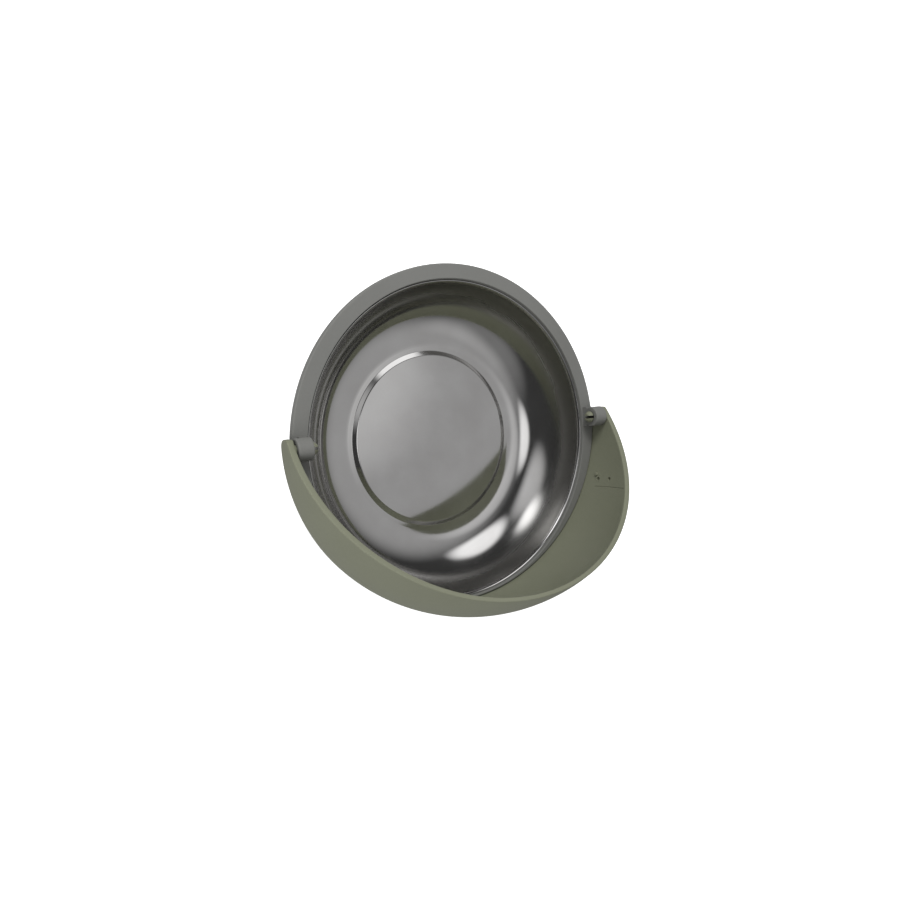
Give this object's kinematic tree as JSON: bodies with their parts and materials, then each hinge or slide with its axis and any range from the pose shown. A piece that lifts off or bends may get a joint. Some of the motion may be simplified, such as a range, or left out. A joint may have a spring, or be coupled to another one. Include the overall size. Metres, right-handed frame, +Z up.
{
  "type": "magnetic parts tray",
  "caption": "Round polished steel dish on a rubber-footed magnet base, in a plastic rim frame with a hood that swings on two barrels and keeps loose fasteners in.",
  "frame": {"origin": "centre of the foot's underside, on the dish's axis", "axes": "+Z up along the dish's axis, X along the hood's pivot line, the hood on the -Y side"},
  "size_m": [0.168, 0.1568, 0.0966],
  "materials": {
    "stainless": "polished stainless steel",
    "frame_plastic": "fine matte grey",
    "hood_plastic": "fine matte olive grey",
    "ferrite": "dull dark grey",
    "zinc_steel": "zinc plated",
    "boot_rubber": "matt black"
  },
  "bodies": {
    "tray": {"dish": "stainless", "frame_ring": "frame_plastic", "ring_magnet": "ferrite", "pole_plate": "zinc_steel", "base_cover": "boot_rubber", "weld_stud": "zinc_steel", "plain_washer": "zinc_steel", "lock_nut": "zinc_steel"},
    "hood": {"swing_hood": "hood_plastic"}
  },
  "joints": [
    {"name": "hood_swing", "type": "hinge", "parent": "tray", "child": "hood", "pos_m": [0, 0.0047, 0.0459], "axis": [-1, 0, 0], "range_deg": [-24, 170]}
  ]
}
